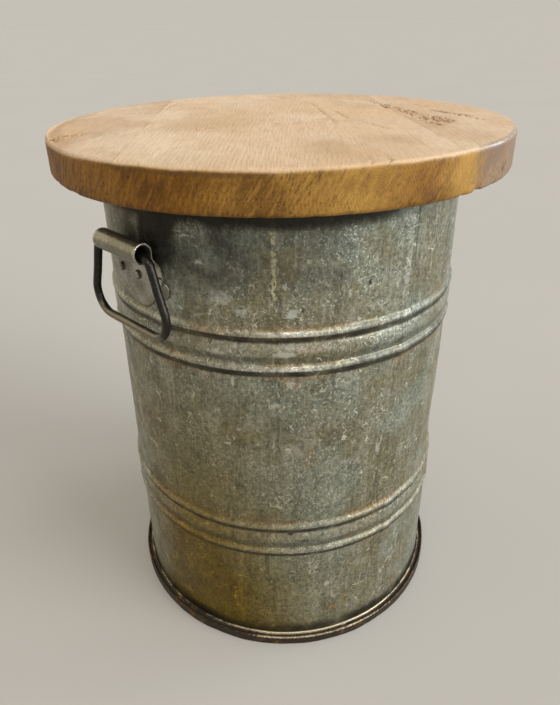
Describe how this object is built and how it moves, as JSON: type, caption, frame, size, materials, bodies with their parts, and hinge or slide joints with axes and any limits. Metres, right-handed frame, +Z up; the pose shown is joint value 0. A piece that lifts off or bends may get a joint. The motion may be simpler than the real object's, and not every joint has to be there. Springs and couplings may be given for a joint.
{
  "type": "lidded sheet-steel barrel",
  "caption": "Straight galvanised sheet-steel barrel with swaged bands, a steel foot ring, riveted drop handles and a thick round plank lid that lifts off.",
  "frame": {"origin": "middle of the foot ring's underside, on the floor", "axes": "+Z up along the barrel's axis; the two handles stand on -X and +X, so their hinge lines run along Y"},
  "size_m": [0.46, 0.46, 0.5585],
  "materials": {
    "galvanised_sheet": "old hot-dip galvanised sheet, dull mottled olive and blue grey, pale flecks and run marks",
    "rim_steel": "plain steel wire, dull",
    "rusted_steel": "bare steel hoop gone dark brown, rust in the groove, lips worn bright",
    "bracket_steel": "galvanised plate, handled smooth on the knuckle",
    "rivet_steel": "dark domed rivets with worn crowns",
    "bail_steel": "dark handled steel bar, brighter along the grip",
    "plank_wood": "old softwood planks, stained and waxed, worn pale on top, darker end grain",
    "batten_wood": "plain sawn softwood",
    "screw_steel": "zinc-plated screws"
  },
  "bodies": {
    "barrel": {"barrel_shell": "galvanised_sheet", "rim_wire": "rim_steel", "bottom_disc": "galvanised_sheet", "foot_ring": "rusted_steel", "handle_bracket_left": "bracket_steel", "handle_bracket_right": "bracket_steel", "bracket_rivets_left": "rivet_steel", "bracket_rivets_right": "rivet_steel"},
    "lid": {"lid_board_left": "plank_wood", "lid_board_middle": "plank_wood", "lid_board_right": "plank_wood", "lid_batten_front": "batten_wood", "lid_batten_back": "batten_wood", "batten_screws_front": "screw_steel", "batten_screws_back": "screw_steel"},
    "bail_left": {"bail_left": "bail_steel"},
    "bail_right": {"bail_right": "bail_steel"}
  },
  "joints": [
    {"name": "lid_lift", "type": "slide", "parent": "barrel", "child": "lid", "axis": [0, 0, 1], "range_m": [0, 0.3]},
    {"name": "left_bail_hinge", "type": "hinge", "parent": "barrel", "child": "bail_left", "pos_m": [-0.201, 0, 0.4705], "axis": [0, 1, 0], "range_deg": [-7, 152]},
    {"name": "right_bail_hinge", "type": "hinge", "parent": "barrel", "child": "bail_right", "pos_m": [0.201, 0, 0.4705], "axis": [0, -1, 0], "range_deg": [-7, 152]}
  ]
}
